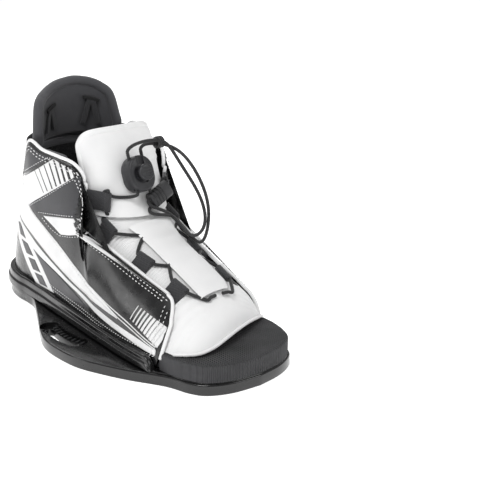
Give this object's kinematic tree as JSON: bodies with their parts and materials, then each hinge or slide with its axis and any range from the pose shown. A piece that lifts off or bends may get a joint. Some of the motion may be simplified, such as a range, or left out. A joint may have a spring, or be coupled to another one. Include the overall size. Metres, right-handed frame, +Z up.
{
  "type": "wakeboard binding",
  "caption": "Open-toe lace-up wakeboard binding: padded boot with glossy side panels, folding rear flap and lace lock on a base plate with curved ear slots.",
  "frame": {"origin": "underside of the base plate, midway between its two ear slots", "axes": "+Z up, away from the board; -Y towards the toes, +Y towards the heel; -X is the big-toe side"},
  "size_m": [0.184, 0.3216, 0.196],
  "materials": {
    "gloss_plate": "glossy glass-filled nylon",
    "clamp_metal": "bare aluminium",
    "steel": "stainless steel",
    "eva_foam": "textured EVA foam",
    "gloss_panel": "glossy coated synthetic leather with white and grey bands",
    "piping": "white coated piping",
    "neoprene": "neoprene with a knitted face",
    "label": "soft moulded patch with a plain orange header",
    "flap_foam": "moulded foam with a fabric face",
    "webbing": "woven polyester webbing",
    "stretch_fabric": "ribbed white stretch fabric",
    "padded_fabric": "white fabric over foam",
    "lace": "braided polyester cord",
    "lock_plastic": "satin moulded nylon",
    "grip_rubber": "moulded rubber"
  },
  "bodies": {
    "root": {"base_plate": "gloss_plate", "clamp_frame": "clamp_metal", "clamp_screws": "steel", "footbed": "eva_foam", "side_panel_left": "gloss_panel", "side_panel_right": "gloss_panel", "piping_left": "piping", "piping_right": "piping", "rear_panel": "neoprene", "label_patch": "label", "ankle_liner": "neoprene", "collar_pad_left": "neoprene", "collar_pad_right": "neoprene", "forefoot_cover": "stretch_fabric", "lace_keeper": "stretch_fabric", "tongue": "padded_fabric", "lace_loop_left_1": "webbing", "lace_loop_left_2": "webbing", "lace_loop_left_3": "webbing", "lace_loop_left_4": "webbing", "lace_loop_right_1": "webbing", "lace_loop_right_2": "webbing", "lace_loop_right_3": "webbing", "lace_loop_right_4": "webbing", "lace_run_left": "lace", "lace_run_right": "lace", "lace_tail_left": "lace", "lace_tail_right": "lace", "tail_knot": "lace", "cord_grip": "grip_rubber", "cord_grip_plug": "grip_rubber"},
    "rear_flap": {"rear_flap": "flap_foam", "pull_loop_left": "webbing", "pull_loop_right": "webbing"},
    "lace_lock": {"lock_body": "lock_plastic", "lock_spring": "steel"},
    "lock_plunger": {"lock_plunger": "lock_plastic"}
  },
  "joints": [
    {"name": "rear_flap_fold", "type": "hinge", "parent": "root", "child": "rear_flap", "pos_m": [0, 0.1037, 0.1552], "axis": [-1, 0, 0], "range_deg": [0, 35]},
    {"name": "lock_slide", "type": "slide", "parent": "root", "child": "lace_lock", "axis": [0, 0.3584, 0.9336], "range_m": [0, 0.003]},
    {"name": "plunger_press", "type": "slide", "parent": "lace_lock", "child": "lock_plunger", "axis": [0, 0.9336, -0.3584], "range_m": [0, 0.0035], "stiffness_N_per_m": 400, "springref_m": -0.004, "deforming": ["lock_spring"]}
  ]
}
